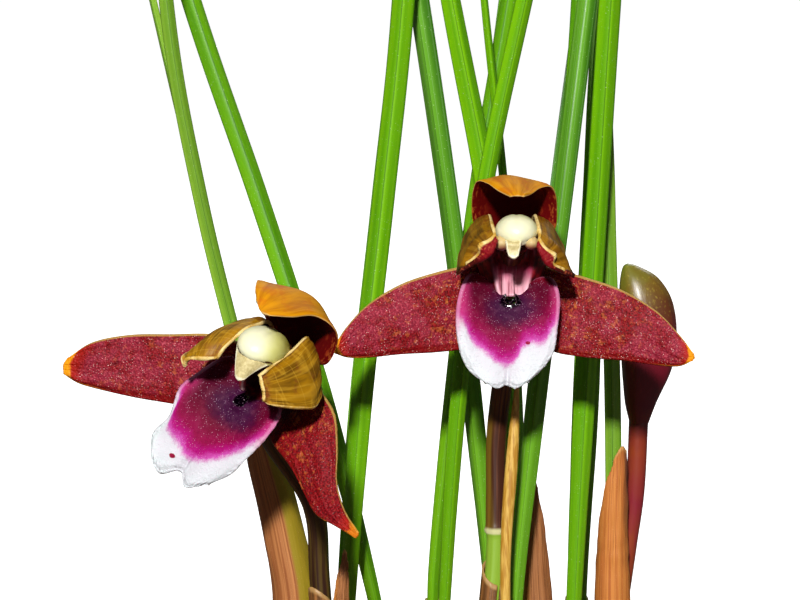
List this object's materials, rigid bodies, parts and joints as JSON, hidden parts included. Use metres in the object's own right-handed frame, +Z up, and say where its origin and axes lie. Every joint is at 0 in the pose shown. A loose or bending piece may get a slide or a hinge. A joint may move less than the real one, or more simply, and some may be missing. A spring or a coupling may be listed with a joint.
{
  "type": "potted maxillaria sanguinea",
  "caption": "Small clay pot with a clump of grass-like orchid leaves, dark red and magenta blooms on short stalks, and a closed bud.",
  "frame": {"origin": "middle of the pot's underside", "axes": "+Z up along the pot and the leaves, -Y towards the side that the right bloom faces"},
  "size_m": [0.1625, 0.1112, 0.2661],
  "materials": {
    "leaf_green": "satin",
    "bulb_green": "satin",
    "sheath_brown": "matte",
    "sepal_red": "satin",
    "petal_ochre": "satin",
    "lip_magenta": "satin",
    "stalk_brown": "satin",
    "cap_cream": "glossy",
    "bud_maroon": "satin",
    "shoot_tan": "satin",
    "bark": "rough",
    "clay": "matte"
  },
  "bodies": {
    "root": {"leaf_left_tall": "leaf_green", "leaf_left_inner": "leaf_green", "leaf_left_arching": "leaf_green", "leaf_left_front": "leaf_green", "leaf_middle_dark": "leaf_green", "leaf_middle_low": "leaf_green", "leaf_middle_back": "leaf_green", "leaf_middle_front": "leaf_green", "leaf_middle_narrow": "leaf_green", "leaf_right_blue": "leaf_green", "leaf_right_thin": "leaf_green", "leaf_right_tall": "leaf_green", "leaf_right_sheathed": "leaf_green", "leaf_right_back": "leaf_green", "leaf_back_left": "leaf_green", "leaf_back_middle": "leaf_green", "leaf_back_right": "leaf_green", "leaf_back_far_right": "leaf_green", "leaf_low_left": "leaf_green", "leaf_low_right": "leaf_green", "rhizome_front": "bulb_green", "rhizome_middle": "bulb_green", "rhizome_back": "bulb_green", "sheath_left": "sheath_brown", "sheath_right": "sheath_brown", "bract_middle": "sheath_brown", "bract_left_thin": "sheath_brown", "dorsal_sepal_right": "sepal_red", "lateral_sepal_right_a": "sepal_red", "lateral_sepal_right_b": "sepal_red", "petal_right_a": "petal_ochre", "petal_right_b": "petal_ochre", "lip_right": "lip_magenta", "column_and_stalk_right": "stalk_brown", "anther_cap_right": "cap_cream", "dorsal_sepal_left": "sepal_red", "lateral_sepal_left_a": "sepal_red", "lateral_sepal_left_b": "sepal_red", "petal_left_a": "petal_ochre", "petal_left_b": "petal_ochre", "lip_left": "lip_magenta", "column_and_stalk_left": "stalk_brown", "anther_cap_left": "cap_cream", "bud": "bud_maroon", "bud_stalk": "bud_maroon", "young_shoot": "shoot_tan", "bark_mix": "bark", "pot": "clay"}
  },
  "joints": []
}
